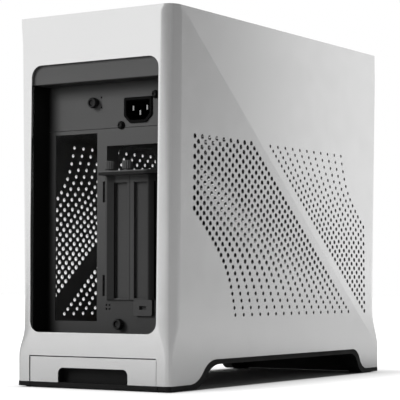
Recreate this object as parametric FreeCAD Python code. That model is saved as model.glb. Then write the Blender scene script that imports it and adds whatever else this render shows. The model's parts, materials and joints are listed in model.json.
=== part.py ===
import FreeCAD, Part
import math
import os

from FreeCAD import Vector

# Compact upright computer case for a mini-ITX board. Millimetres, +Z up.
# X is the width, Y the depth with the rear at +Y, and Z = 0 is the floor.

# Overall size
case_width = 159.6
case_depth = 366.0
case_height = 314.0
foot_height = 1.0
skirt_height = 3.9

# Aluminium sleeve: wall, corner radii by height and the diagonal fold
shell_wall = 2.0
rear_radius_foot = 4.0
rear_radius_waist = 15.0
rear_radius_shoulder = 13.0
rear_radius_rim = 9.0
front_radius_foot = 2.6
front_radius_waist = 12.0
front_radius_shoulder = 4.5
front_radius_rim = 2.6
smallest_radius = 0.6
corner_strips = 4
flat_limit = 1e-6
plinth_top = 27.0
waist_height = 56.0
shoulder_drop = 24.0
crease_rear_setback = 12.0
crease_front_height = 23.0
fold_depth_rear = 3.5
fold_depth_front = 2.0

# Rear window and side arches of the sleeve
window_side = 13.9
window_bottom = 48.0
window_top = 272.5
window_radius = 9.5
arch_top = 24.2
arch_rear_toe = 30.0
arch_rear_run = 40.0
arch_front_toe = 25.0
arch_front_run = 29.0
arch_rim = 4.3
arch_gap = 0.3

# Perforated fields on both sides of the fold
hole_size = 7.0
hole_sides = 6
hole_row_step = 18.5
hole_field_top = 208.5
hole_field_rows = 9
hole_pitch_narrow = 31.0
hole_pitch_wide = 38.0
hole_crease_margin = 20.0
hole_rear_limit = 34.0
hole_front_limit = 30.0
hole_sweep = 65.0
hole_sweep_start = 60.0

# Fits
shell_clearance = 0.6
slide_clearance = 0.6
running_clearance = 0.3

# Folded steel chassis
sheet = 1.2
floor_sheet = 1.5
chassis_side = 9.0
deck_height = 26.5
rear_recess = 23.0
recess_side = 15.0
frame_top_drop = 14.0
brow_bottom = 256.0
brow_setback = 3.2
front_setback = 11.0
front_flange = 16.0
front_opening_side = 20.0
front_opening_bottom = 50.0
front_opening_drop = 25.0
front_bar = 12.0
front_corner = 10.0
ring_width = 14.0
seam_height = 217.6
seam_gap = 0.4

# Board side: input-output aperture, spine and standoffs
aperture_width = 44.45
aperture_height = 158.75
aperture_left = 56.9
aperture_bottom = 55.6
spine_face = 8.2
spine_top = 222.0
standoff_length = 6.5
standoff_across = 5.0
board_bolt = 2.5
board_pattern_z = 157.48
board_pattern_y = 154.94
board_centre_z = 135.0
board_rear_setback = 11.5
cable_port_height = 34.0
cable_port_length = 58.0
cable_port_rear = 22.0
cable_port_bottom = 172.0
cable_slot_width = 24.0
cable_slot_height = 90.0
cable_slot_setback = 36.0
port_corner = 6.0

# Riser for the graphics card
riser_board_length = 96.0
riser_board_height = 26.0
riser_board_thickness = 1.6
riser_socket_length = 89.0
riser_socket_depth = 11.0
riser_socket_height = 7.5
riser_slot_width = 2.0
riser_slot_depth = 8.0
riser_rear_setback = 14.0
riser_bottom = 96.0

# Expansion slots
slot_count = 3
slot_pitch = 20.32
slot_first_side = 51.3
slot_opening = 13.6
slot_bottom = 75.0
slot_length = 102.6
slot_head = 6.0
slot_frame_thickness = 2.2
slot_frame_margin = 3.0
slot_window_height = 25.4
slot_window_side = 15.9
cover_width = 18.4
cover_thickness = 1.0
cover_tail = 4.0
shelf_depth = 11.0
retainer_lip = 2.2
retainer_screw_across = 8.4
retainer_screw_height = 8.5
retainer_screw_spread = 17.6

# Mains inlet
inlet_centre_x = -30.1
inlet_centre_z = 231.8
inlet_width = 27.0
inlet_height = 20.0
inlet_depth = 30.0
inlet_chamfer = 5.5
inlet_wall = 1.8
inlet_cavity_depth = 20.0
inlet_flange = 1.6
inlet_flange_margin = 0.8
inlet_ear_radius = 4.2
inlet_screw_x = 17.3
inlet_screw_z = 12.0
inlet_screw_across = 6.0
inlet_screw_height = 1.8
pin_width = 1.5
pin_height = 4.0
pin_length = 16.0
pin_spacing = 14.0
pin_offset = 4.0

# Thumbscrews, hook holes, lock and vent on the recessed rear panel
thumb_radius = 4.6
thumb_height = 6.5
thumb_shank_across = 3.0
thumb_shank_length = 2.4
thumb_hole = 2.0
thumb_upper_x = 14.2
thumb_upper_z = 239.8
thumb_lower_x = -12.3
thumb_lower_z = 53.5
pilot_offset = 6.0
pilot_centre_z = 240.3
pilot_spacing = 8.5
hook_x = 5.4
hook_width = 2.4
hook_lower = 76.8
hook_upper = 155.6
hook_height = 17.6
lock_left = -27.3
lock_width = 18.5
lock_bottom = 60.6
lock_height = 13.6
lock_thickness = 3.0
lock_slot_width = 7.0
lock_slot_height = 3.0
vent_x = 0.8
vent_z = 67.7
vent_spacing = 3.2
vent_size = 1.6

# Power supply bracket
psu_face = 60.0
psu_opening_width = 102.0
psu_opening_height = 42.0
psu_bolt_x = 113.0
psu_bolt_z = 51.5
psu_bolt = 3.4
psu_flange = 14.0
psu_drop = 39.0
psu_edge = 13.25

# Floor fan opening and vent slots
fan_opening = 112.0
fan_pattern = 105.0
fan_bolt = 4.4
fan_centre = 62.0
deck_slot_rows = 9
deck_slot_setback = 36.0
deck_slot_pitch = 14.0
deck_slot_width = 7.0
deck_slot_side = 18.0

# Filter tray
tray_side = 14.8
tray_top = 26.0
tray_front_gap = 36.0
tray_plate = 2.0
tray_frame_bottom = 21.5
tray_frame_height = 4.0
tray_cheek = 9.0
tray_bars = 4
tray_bar_width = 5.0
tray_border = 9.0
tray_mesh_thickness = 0.5
finger_width = 71.2
finger_top = 17.2
finger_radius = 5.0
finger_wall = 2.0
ledge_width = 4.2
ledge_height = 1.3

# Base plinth and feet
rail_depth = 17.0
foot_length = 20.0
foot_width = 9.0
foot_cut = 2.4
foot_inset_y = 4.5
foot_inset_x = 5.0

# Front input-output strip
strip_width = 95.2
strip_top = 21.6
strip_thickness = 2.4
strip_level = 12.8
io_pocket_depth = 12.6
io_pocket_margin = 1.6
io_board_thickness = 1.6
io_board_length = 9.0
button_x = -34.0
button_radius = 4.7
button_head = 3.0
button_stem = 3.6
button_stem_length = 5.5
button_travel = 1.2
switch_size = 6.0
switch_depth = 3.4
usb_c_x = -13.0
usb_c_width = 8.9
usb_c_height = 3.2
usb_c_cut = 0.9
usb_a_first = 6.0
usb_a_pitch = 18.0
usb_a_count = 2
usb_a_width = 13.1
usb_a_height = 5.7
port_depth = 9.0
port_wall = 0.5
port_fit = 0.2
audio_x = 40.0
audio_radius = 2.7
audio_bore = 1.75

# Lift-off top panel with its studs
top_thickness = 2.4
top_setback = 0.6
top_gap = 0.6
vent_slot_length = 54.0
vent_slot_width = 8.0
vent_slot_pitch = 21.0
vent_slot_rows = 13
vent_slot_offset = 31.0
stud_across = 5.0
stud_inset_x = 16.0
stud_inset_y = 22.0
stud_engage = 5.0
socket_size = 12.0
socket_cut = 2.5
socket_height = 7.5

# Values worked out from the driving dimensions
half_width = case_width / 2
half_depth = case_depth / 2
shell_bottom = foot_height + skirt_height
half_chassis = half_width - chassis_side
half_recess = half_width - recess_side
half_window = half_width - window_side
half_tray = half_width - tray_side
floor_top = deck_height + floor_sheet
panel_rear = half_depth - rear_recess
panel_front = panel_rear - sheet
brow_rear = half_depth - brow_setback
front_face = -half_depth + front_setback
front_inner = front_face + sheet
half_front = half_chassis - front_opening_side
half_deck_slot = half_chassis - deck_slot_side
half_cavity = half_tray + slide_clearance
half_strip = strip_width / 2
frame_top = case_height - frame_top_drop
ring_bottom = frame_top - sheet
psu_centre_z = frame_top - psu_drop
psu_bottom = psu_centre_z - psu_bolt_z / 2 - psu_edge
front_opening_top = frame_top - front_opening_drop
slot_top = slot_bottom + slot_length
shelf_top = slot_top + sheet
slot_first = -half_recess + slot_first_side
slot_window_left = slot_first + slot_window_side
slot_centres = [slot_first - slot_pitch * index for index in range(slot_count)]
top_upper = case_height - top_setback
top_lower = top_upper - top_thickness
far = case_depth + case_height
crease_run_y = case_depth - crease_rear_setback
crease_run_z = case_height - crease_front_height

AXIS_X = Vector(1, 0, 0)
AXIS_Y = Vector(0, 1, 0)
AXIS_Z = Vector(0, 0, 1)


# Small helpers for blocks, bores and outlines

def box(x, y, z):
    """Box between the low and high values of each pair."""
    return Part.makeBox(x[1] - x[0], y[1] - y[0], z[1] - z[0], Vector(x[0], y[0], z[0]))


def rounded_box(x, y, z, radius, axis):
    """Box whose four edges along one axis are rounded."""
    solid = box(x, y, z)
    edges = [edge for edge in solid.Edges
             if abs(edge.tangentAt(edge.FirstParameter).dot(axis)) > 0.9]
    return solid.makeFillet(radius, edges)


def cut_corner_box(x, y, z, cut, axis):
    """Box whose four edges along one axis are cut off at 45 degrees."""
    solid = box(x, y, z)
    edges = [edge for edge in solid.Edges
             if abs(edge.tangentAt(edge.FirstParameter).dot(axis)) > 0.9]
    return solid.makeChamfer(cut, edges)


def hexagon(across, start, axis, length):
    """Hexagonal bar between two flats, along one axis."""
    side = AXIS_Y if abs(axis.z) > 0.5 else AXIS_Z
    other = axis.cross(side)
    reach = across / math.sqrt(3)
    points = []
    for corner in range(6):
        angle = math.tau * (corner + 0.5) / 6
        points.append(start + other * (reach * math.cos(angle)) + side * (reach * math.sin(angle)))
    return prism(points, axis * length)


def around(centre, size):
    """Low and high value of a length about its centre."""
    return (centre - size / 2, centre + size / 2)


def rod(radius, start, axis, length):
    return Part.makeCylinder(radius, length, start, axis)


def fused(shapes):
    whole = shapes[0]
    if len(shapes) > 1:
        whole = whole.fuse(shapes[1:])
    return whole.removeSplitter()


def mirrored_x(shape):
    return shape.mirror(Vector(0, 0, 0), AXIS_X)


def both_sides(shape):
    """A shape together with its mirror image across the width."""
    return [shape, mirrored_x(shape)]


def prism(points, push):
    """Closed polygon pushed along a vector."""
    return Part.Face(Part.makePolygon(points + [points[0]])).extrude(push)


def save(name, shape):
    if isinstance(shape, list):
        shape = Part.makeCompound(shape)
    if not shape.isValid():
        print("not valid:", name)
    shape.exportStep(os.path.join("parts", name + ".step"))
    print(name, len(shape.Solids), round(shape.Volume))


# Sleeve: rounded outlines at five heights, each side folded along the diagonal that falls to its right

def fold_offset(y, z):
    """How far the side stands in from the full width, at a place seen from the side."""
    length = math.hypot(crease_run_y, crease_run_z)

    def below_crease(y, z):
        return ((y + half_depth) * crease_run_z - (z - crease_front_height) * crease_run_y) / length

    below = below_crease(y, z)
    if below > 0:
        return fold_depth_rear * below / below_crease(half_depth, shell_bottom)
    return fold_depth_front * below / below_crease(-half_depth, case_height)


def corner_arc(corner, before, after, radius):
    """Start, middle and end of the arc that rounds a corner between two neighbours."""
    back = (before - corner).normalize()
    ahead = (after - corner).normalize()
    half_angle = math.acos(back.dot(ahead)) / 2
    reach = radius / math.tan(half_angle)
    middle = corner + (back + ahead).normalize() * (radius / math.sin(half_angle) - radius)
    return corner + back * reach, middle, corner + ahead * reach


def arc_strips(points):
    """Arc through three points, cut into equal pieces."""
    arc = Part.Arc(*points).toShape()
    step = arc.LastParameter / corner_strips
    return [Part.Edge(arc.Curve, index * step, (index + 1) * step) for index in range(corner_strips)]


def outline(z, rear_radius, front_radius, inset):
    """Closed outline at one height, moved in by the inset; one side is the other turned half round."""
    rear = max(rear_radius - inset, smallest_radius)
    front = max(front_radius - inset, smallest_radius)
    rear_y = half_depth - inset
    crease_y = -half_depth + (z - crease_front_height) * crease_run_y / crease_run_z
    lowest = -rear_y + front + smallest_radius
    highest = rear_y - rear - smallest_radius
    edges = []
    ends = []
    for side in (1, -1):

        def side_point(y):
            return Vector(side * (half_width - inset - fold_offset(-side * y, z)), y, z)

        crease = side_point(min(max(-side * crease_y, lowest), highest))
        front_arc = corner_arc(side_point(-rear_y), Vector(0, -rear_y, z), crease, front)
        rear_arc = corner_arc(side_point(rear_y), crease, Vector(0, rear_y, z), rear)
        edges += arc_strips(front_arc) + arc_strips(rear_arc)
        edges.append(Part.LineSegment(front_arc[2], crease).toShape())
        edges.append(Part.LineSegment(crease, rear_arc[0]).toShape())
        ends.append((rear_arc[2], front_arc[0]))
    for right, left in zip(*ends):
        edges.append(Part.LineSegment(right, left).toShape())
    return edges


def skin(lower, upper):
    """Face between two matching edges, flat where both are straight and lie in one plane."""
    ends = [vertex.Point for vertex in lower.Vertexes + upper.Vertexes[::-1]]
    normal = (ends[1] - ends[0]).cross(ends[3] - ends[0]).normalize()
    straight = lower.Curve.TypeId == "Part::GeomLine"
    if straight and abs((ends[2] - ends[0]).dot(normal)) < flat_limit:
        return Part.Face(Part.makePolygon(ends + ends[:1]))
    return Part.makeRuledSurface(lower, upper)


def sleeve(inset, bottom, top):
    """Solid inside the sleeve's outer face moved in by the inset, between two heights."""
    levels = [
        (min(bottom, foot_height), rear_radius_foot, front_radius_foot),
        (plinth_top, rear_radius_foot, front_radius_foot),
        (waist_height, rear_radius_waist, front_radius_waist),
        (case_height - shoulder_drop, rear_radius_shoulder, front_radius_shoulder),
        (max(top, case_height), rear_radius_rim, front_radius_rim),
    ]
    outlines = [outline(z, rear, front, inset) for z, rear, front in levels]
    faces = []
    for end in (outlines[0], outlines[-1]):
        faces.append(Part.Face(Part.Wire(Part.__sortEdges__(end))))
    for lower, upper in zip(outlines, outlines[1:]):
        faces += [skin(low_edge, high_edge) for low_edge, high_edge in zip(lower, upper)]
    body = Part.makeSolid(Part.makeShell(faces)).removeSplitter()
    return body.common(box((-far, far), (-far, far), (bottom, top)))


def arch(drop, rim):
    """Tunnel through both sides: a flat top between two S-shaped flanks."""
    top = arch_top - rim - drop
    low = shell_bottom - rim - drop
    rear_toe = half_depth - arch_rear_toe - rim
    front_toe = -half_depth + arch_front_toe + rim
    flanks = []
    for toe, run, turn in ((rear_toe, arch_rear_run, -1), (front_toe, arch_front_run, 1)):
        rise = top - low
        radius = (run * run + rise * rise) / (4 * rise)
        half_angle = math.atan2(rise, run)
        side = radius * math.sin(half_angle)
        sag = radius * (1 - math.cos(half_angle))
        start = Vector(-far, toe, low)
        first = Vector(-far, toe + turn * side, low + sag)
        middle = Vector(-far, toe + turn * run / 2, low + rise / 2)
        second = Vector(-far, toe + turn * (run - side), top - sag)
        end = Vector(-far, toe + turn * run, top)
        flanks.append((start, first, middle, second, end))
    rear, front = flanks
    below_rear = Vector(-far, rear[0].y, -case_height)
    below_front = Vector(-far, front[0].y, -case_height)
    edges = [
        Part.LineSegment(below_rear, rear[0]).toShape(),
        Part.Arc(rear[0], rear[1], rear[2]).toShape(),
        Part.Arc(rear[2], rear[3], rear[4]).toShape(),
        Part.LineSegment(rear[4], front[4]).toShape(),
        Part.Arc(front[4], front[3], front[2]).toShape(),
        Part.Arc(front[2], front[1], front[0]).toShape(),
        Part.LineSegment(front[0], below_front).toShape(),
        Part.LineSegment(below_front, below_rear).toShape(),
    ]
    return Part.Face(Part.Wire(edges)).extrude(Vector(2 * far, 0, 0))


def hole_centres():
    """Staggered holes in two fields that follow the fold, one above and one below it."""
    slant = crease_run_y / crease_run_z
    centres = []
    for row in range(hole_field_rows):
        down = row / (hole_field_rows - 1)
        z = hole_field_top - row * hole_row_step
        crease = -half_depth + (z - crease_front_height) * slant
        swept = max(0.0, row * hole_row_step - hole_sweep_start)
        span = hole_row_step * (hole_field_rows - 1) - hole_sweep_start
        bend = hole_sweep * math.sqrt(swept / span) if swept > 0 else 0.0
        upper_swept = max(0.0, hole_sweep_start - row * hole_row_step) / hole_sweep_start
        rear_limit = half_depth - hole_rear_limit - bend
        front_limit = -half_depth + hole_front_limit + hole_sweep * 0.72 * math.sqrt(upper_swept)
        pitch = hole_pitch_narrow + (hole_pitch_wide - hole_pitch_narrow) * down
        y = crease + hole_crease_margin
        while y <= rear_limit:
            centres.append((y, z))
            y += pitch
        pitch = hole_pitch_wide - (hole_pitch_wide - hole_pitch_narrow) * down
        y = crease - hole_crease_margin
        while y >= front_limit:
            centres.append((y, z))
            y -= pitch
    return centres


def perforation(side, y, z):
    """One hole cut straight through a side wall."""
    points = []
    for corner in range(hole_sides):
        angle = math.tau * corner / hole_sides
        points.append(Vector(0, y + hole_size / 2 * math.cos(angle), z + hole_size / 2 * math.sin(angle)))
    return prism(points, Vector(side * far, 0, 0))


def make_shell():
    outer = sleeve(0, shell_bottom, case_height)
    inner = sleeve(shell_wall, -foot_height, case_height + shell_wall)
    rear_cut = (half_depth - rear_recess, far)
    front_cut = (-far, front_face)
    window = rounded_box((-half_window, half_window), rear_cut, (window_bottom, window_top),
                         window_radius, AXIS_Y)
    tray_notch = box((-half_cavity, half_cavity), rear_cut, (-far, tray_top + slide_clearance))
    strip_notch = box(around(0, strip_width + 2 * shell_clearance), front_cut,
                      (-far, strip_top + shell_clearance))
    body = outer.cut([inner, window, tray_notch, strip_notch, arch(0, 0)])
    holes = [perforation(side, -side * y, z) for side in (1, -1) for y, z in hole_centres()]
    save("shell", body.cut(holes))


def stud_places():
    x = half_width - stud_inset_x
    y = half_depth - stud_inset_y
    return [(sx * x, sy * y) for sx in (-1, 1) for sy in (-1, 1)]


def make_top_panel():
    """Lift-off lid with rows of vent slots and four hexagonal studs under it."""
    panel = sleeve(shell_wall + top_gap, top_lower, top_upper)
    slots = []
    for row in range(vent_slot_rows):
        y = (row - (vent_slot_rows - 1) / 2) * vent_slot_pitch
        for x in (-vent_slot_offset, vent_slot_offset):
            slots.append(box(around(x, vent_slot_length), around(y, vent_slot_width), (top_lower, top_upper)))
    save("top_panel", panel.cut(slots))
    socket_top = frame_top + socket_height
    studs = []
    sockets = []
    for x, y in stud_places():
        tip = socket_top - stud_engage
        studs.append(hexagon(stud_across, Vector(x, y, tip), AXIS_Z, top_lower - tip))
        socket = cut_corner_box(around(x, socket_size), around(y, socket_size), (frame_top, socket_top),
                                socket_cut, AXIS_Z)
        pocket = stud_across / math.cos(math.pi / 6) + 2 * running_clearance
        sockets.append(socket.cut(box(around(x, pocket), around(y, pocket), (tip - running_clearance, far))))
    save("top_studs", studs)
    save("stud_sockets", sockets)


# Plinth, feet and filter tray

def make_base_frame():
    """Moulded plinth: flush skirt, side rails with arches and a front wall for the strip."""
    inset = shell_wall + shell_clearance
    skirt = sleeve(0, foot_height, shell_bottom)
    rails = sleeve(inset, shell_bottom, deck_height)
    lining = sleeve(0, shell_bottom, arch_top).common(arch(arch_gap, 0))
    cavity = box((-half_cavity, half_cavity), (-half_depth + rail_depth, far), (-far, far))
    pocket_x = around(0, strip_width - 2 * io_pocket_margin)
    pocket_z = (shell_bottom + io_pocket_margin, strip_top - io_pocket_margin)
    pocket = box(pocket_x, (-half_depth + strip_thickness, -half_depth + strip_thickness + io_pocket_depth),
                 pocket_z)
    strip_seat = box(around(0, strip_width), (-far, -half_depth + strip_thickness), (shell_bottom, strip_top))
    body = fused([skirt, rails, lining]).cut([cavity, arch(0, arch_rim), pocket, strip_seat])
    ledge_top = arch_top - arch_rim + ledge_height
    ledge = box((half_cavity - ledge_width, half_cavity + slide_clearance),
                (-half_depth + rail_depth, half_depth - tray_cheek - tray_plate - slide_clearance),
                (arch_top - arch_rim, ledge_top))
    save("base_frame", fused([body] + both_sides(ledge)))


def make_feet():
    number = 1
    for sy in (1, -1):
        for sx in (-1, 1):
            x = sx * (half_width - foot_inset_x - foot_width / 2)
            y = sy * (half_depth - foot_inset_y - foot_length / 2)
            pad = cut_corner_box(around(x, foot_width), around(y, foot_length), (0, foot_height),
                                 foot_cut, AXIS_Z)
            save("rubber_foot_%d" % number, pad)
            number += 1


def make_tray():
    """Pull-out dust filter: aluminium face, ribbed plastic frame and a fine sheet."""
    face_front = half_depth - tray_plate
    finger_x = around(0, finger_width)
    face = box((-half_tray, half_tray), (face_front, half_depth), (shell_bottom, tray_top))
    grip = rounded_box(finger_x, (face_front, half_depth), (-finger_top, finger_top), finger_radius, AXIS_Y)
    save("tray_front", face.cut(grip))

    frame_top_z = tray_frame_bottom + tray_frame_height
    tail = -half_depth + tray_front_gap
    pocket_front = face_front - tray_cheek
    plate = box((-half_tray, half_tray), (tail, face_front), (tray_frame_bottom, frame_top_z))
    span = (pocket_front - tray_border) - (tail + tray_border)
    cell = (span - tray_bars * tray_bar_width) / (tray_bars + 1)
    openings = []
    for index in range(tray_bars + 1):
        start = tail + tray_border + index * (cell + tray_bar_width)
        openings.append(box((-half_tray + tray_border, half_tray - tray_border), (start, start + cell),
                            (tray_frame_bottom, frame_top_z)))
    cheek = box((finger_width / 2, half_tray), (pocket_front, face_front), (foot_height, tray_frame_bottom))
    lip = box((-half_tray, half_tray), (pocket_front, half_depth), (foot_height, shell_bottom))
    back = box(finger_x, (pocket_front, pocket_front + finger_wall), (shell_bottom, tray_frame_bottom))
    save("tray_frame", fused([plate.cut(openings), back, lip] + both_sides(cheek)))

    mesh_half = half_cavity - ledge_width - slide_clearance
    save("tray_mesh", box((-mesh_half, mesh_half), (tail + tray_bar_width, pocket_front - tray_bar_width),
                          (tray_frame_bottom - tray_mesh_thickness, tray_frame_bottom)))


# Steel chassis

def make_floor_plate():
    """Deck with one fan opening and its bolt holes at the rear, and vent slots at the front."""
    plate = box((-half_chassis, half_chassis), (front_face, brow_rear - sheet), (deck_height, floor_top))
    cuts = [rod(fan_opening / 2, Vector(0, fan_centre, deck_height), AXIS_Z, floor_sheet)]
    for sx in (-0.5, 0.5):
        for sy in (-0.5, 0.5):
            place = Vector(sx * fan_pattern, fan_centre + sy * fan_pattern, deck_height)
            cuts.append(rod(fan_bolt / 2, place, AXIS_Z, floor_sheet))
    for row in range(deck_slot_rows):
        y = front_face + deck_slot_setback + row * deck_slot_pitch
        cuts.append(box((-half_deck_slot, half_deck_slot), (y, y + deck_slot_width),
                        (deck_height, floor_top)))
    save("floor_plate", plate.cut(cuts))


def make_rear_panel():
    """Recessed back with two side flanges, the board aperture and the slot openings."""
    through = (panel_front, panel_rear)
    plate = box((-half_recess - sheet, half_recess + sheet), through, (floor_top, seam_height))
    side = (half_recess, half_recess + sheet)
    flange = box(side, (panel_rear, brow_rear - sheet), (floor_top, ring_bottom))
    upper = box(side, through, (seam_height, ring_bottom))
    aperture = box((aperture_left - aperture_width, aperture_left), through,
                   (aperture_bottom, aperture_bottom + aperture_height))
    slot_low = slot_centres[-1] - slot_opening / 2
    window = box((slot_low, slot_window_left), through, (slot_top, slot_top + slot_window_height))
    cuts = [aperture, window]
    for x in slot_centres:
        cuts.append(box(around(x, slot_opening), through, (slot_bottom, slot_top)))
    for z in (hook_lower, hook_upper):
        cuts.append(box(around(hook_x, hook_width), through, (z, z + hook_height)))
    cuts.append(rod(thumb_hole, Vector(thumb_lower_x, 0, thumb_lower_z), AXIS_Y, far))
    for dx in (-0.5, 0.5):
        for dz in (-0.5, 0.5):
            cuts.append(box(around(vent_x + dx * vent_spacing, vent_size), through,
                            around(vent_z + dz * vent_spacing, vent_size)))
    save("rear_panel", fused([plate] + both_sides(flange) + both_sides(upper)).cut(cuts))


def make_inlet_plate():
    """Upper back plate that carries the mains inlet."""
    through = (panel_front, panel_rear)
    half = half_recess - shell_clearance
    plate = box((-half, half), through, (seam_height + seam_gap, brow_bottom))
    cuts = [inlet_outline(0, through)]
    cuts.append(rod(thumb_hole, Vector(thumb_upper_x, 0, thumb_upper_z), AXIS_Y, far))
    for side in (-0.5, 0.5):
        cuts.append(box(around(thumb_upper_x - pilot_offset, vent_size), through,
                        around(pilot_centre_z + side * pilot_spacing, vent_size)))
    save("inlet_plate", plate.cut(cuts))


def make_top_frame():
    """Folded ring round the top opening, with a deep brow over the rear recess."""
    ring = box((-half_chassis, half_chassis), (front_face, panel_front), (ring_bottom, frame_top))
    brow_half = half_recess + sheet
    shelf = box((-brow_half, brow_half), (panel_front, brow_rear), (ring_bottom, frame_top))
    opening = box((-half_chassis + ring_width, half_chassis - ring_width),
                  (front_inner + ring_width, panel_front - ring_width), (ring_bottom, frame_top))
    brow = box((-brow_half, brow_half), (brow_rear - sheet, brow_rear), (brow_bottom, frame_top))
    half = half_recess - shell_clearance
    lip = box((-half, half), (panel_front, brow_rear), (brow_bottom, brow_bottom + sheet))
    save("top_frame", fused([ring.cut(opening), shelf, brow, lip]))


def make_front_wall():
    through = (front_face, front_inner)
    plate = box((-half_chassis, half_chassis), through, (floor_top, ring_bottom))
    middle = (front_opening_bottom + front_opening_top) / 2
    levels = [(front_opening_bottom, middle - front_bar / 2), (middle + front_bar / 2, front_opening_top)]
    openings = [cut_corner_box((-half_front, half_front), through, z, front_corner, AXIS_Y)
                for z in levels]
    flange = box((half_chassis - sheet, half_chassis), (front_face, front_inner + front_flange),
                 (floor_top, ring_bottom))
    save("front_wall", fused([plate.cut(openings)] + both_sides(flange)))


def standoff_places():
    rear = panel_front - board_rear_setback
    places = []
    for y in (rear, rear - board_pattern_y):
        for dz in (-0.5, 0.5):
            places.append((y, board_centre_z + dz * board_pattern_z))
    return places


def make_spine():
    """Wall between board and graphics card, with its standoffs on the board side."""
    through = (spine_face - sheet, spine_face)
    plate = box(through, (front_inner + front_flange, panel_front), (floor_top, spine_top))
    port_rear = panel_front - cable_port_rear
    port = cut_corner_box(through, (port_rear - cable_port_length, port_rear),
                          (cable_port_bottom, cable_port_bottom + cable_port_height), port_corner, AXIS_X)
    slot_front = front_inner + cable_slot_setback
    slot = cut_corner_box(through, (slot_front, slot_front + cable_slot_width),
                          around(board_centre_z, cable_slot_height), port_corner, AXIS_X)
    standoffs = []
    for y, z in standoff_places():
        foot = Vector(spine_face, y, z)
        pillar = hexagon(standoff_across, foot, AXIS_X, standoff_length)
        standoffs.append(pillar.cut(rod(board_bolt / 2, foot, AXIS_X, standoff_length)))
    save("spine_plate", plate.cut([port, slot]))
    save("standoffs", standoffs)


def make_riser():
    """Riser board on the card side of the spine with its card socket."""
    face = spine_face - sheet
    rear = panel_front - riser_rear_setback
    middle = rear - riser_board_length / 2
    board = box((face - riser_board_thickness, face), (rear - riser_board_length, rear),
                (riser_bottom, riser_bottom + riser_board_height))
    seat = face - riser_board_thickness
    level = riser_bottom + riser_board_height / 2
    body = box((seat - riser_socket_depth, seat), around(middle, riser_socket_length),
               around(level, riser_socket_height))
    slot = box((seat - riser_socket_depth, seat - riser_socket_depth + riser_slot_depth),
               around(middle, riser_socket_length - riser_socket_height), around(level, riser_slot_width))
    save("riser_board", board)
    save("riser_socket", body.cut(slot))


def psu_bolt_places():
    places = []
    for sx in (-0.5, 0.5):
        for sz in (-0.5, 0.5):
            places.append((sx * psu_bolt_x, psu_centre_z + sz * psu_bolt_z))
    return places


def make_psu_bracket():
    """Hanging plate for a small power supply: notched over the spine, with a flange under the top ring."""
    through = (psu_face, psu_face + floor_sheet)
    plate = box((-half_chassis, half_chassis), through, (psu_bottom, ring_bottom))
    notch = box((spine_face - sheet - slide_clearance, spine_face + slide_clearance), through, (0, spine_top))
    flange = box((-half_chassis, half_chassis), (psu_face, psu_face + psu_flange),
                 (ring_bottom - floor_sheet, ring_bottom))
    opening = cut_corner_box(around(0, psu_opening_width), through,
                             around(psu_centre_z, psu_opening_height), port_corner, AXIS_Y)
    holes = [rod(psu_bolt / 2, Vector(x, 0, z), AXIS_Y, far) for x, z in psu_bolt_places()]
    save("psu_bracket", fused([plate.cut([opening, notch] + holes), flange]))


# Expansion slots

def make_slots():
    """Barred frame on the back panel, one cover per slot and the bar that clamps their tabs."""
    low = slot_centres[-1] - slot_opening / 2 - slot_frame_margin
    high = slot_window_left
    outside = (panel_rear, panel_rear + slot_frame_thickness)
    frame = box((low, high), outside, (slot_bottom - sheet, slot_top))
    gap = (slot_bottom, slot_top - slot_head)
    frame = frame.cut([box(around(x, slot_opening), outside, gap) for x in slot_centres])
    shelf = box((low, high), (panel_rear, panel_rear + shelf_depth), (slot_top, shelf_top))
    save("slot_frame", fused([frame, shelf]))

    tab_top = shelf_top + cover_thickness
    seat = (panel_front - cover_thickness, panel_front)
    for number, x in enumerate(slot_centres, 1):
        blade = box(around(x, cover_width), seat, (slot_bottom - cover_tail, slot_top))
        neck = box(around(x, slot_opening), seat, (slot_top, tab_top))
        tab = box(around(x, slot_opening), (seat[0], panel_rear + shelf_depth - sheet), (shelf_top, tab_top))
        save("slot_cover_%d" % number, fused([blade, neck, tab]))

    bar_rear = panel_rear + shelf_depth
    bar = box((low, high), (panel_rear + sheet, bar_rear + sheet), (tab_top, tab_top + sheet))
    lip = box((low, high), (bar_rear, bar_rear + sheet), (tab_top - retainer_lip, tab_top + sheet))
    save("slot_retainer", fused([bar, lip]))
    screws = []
    for x in around(slot_first, retainer_screw_spread):
        place = Vector(x, panel_rear + shelf_depth / 2, tab_top + sheet)
        screws.append(hexagon(retainer_screw_across, place, AXIS_Z, retainer_screw_height))
    save("retainer_screws", screws)


# Mains inlet

def inlet_outline(inset, y):
    """Inlet opening with its two lower corners cut off."""
    x = inlet_width / 2 - inset
    z = inlet_height / 2 - inset
    cut = inlet_chamfer - inset * (2 - math.sqrt(2))
    outline = [(-x, z), (x, z), (x, -z + cut), (x - cut, -z), (-x + cut, -z), (-x, -z + cut)]
    points = [Vector(inlet_centre_x + px, y[0], inlet_centre_z + pz) for px, pz in outline]
    return prism(points, Vector(0, y[1] - y[0], 0))


def inlet_screw_places():
    return [(inlet_centre_x + side * inlet_screw_x, inlet_centre_z - side * inlet_screw_z)
            for side in (1, -1)]


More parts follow.
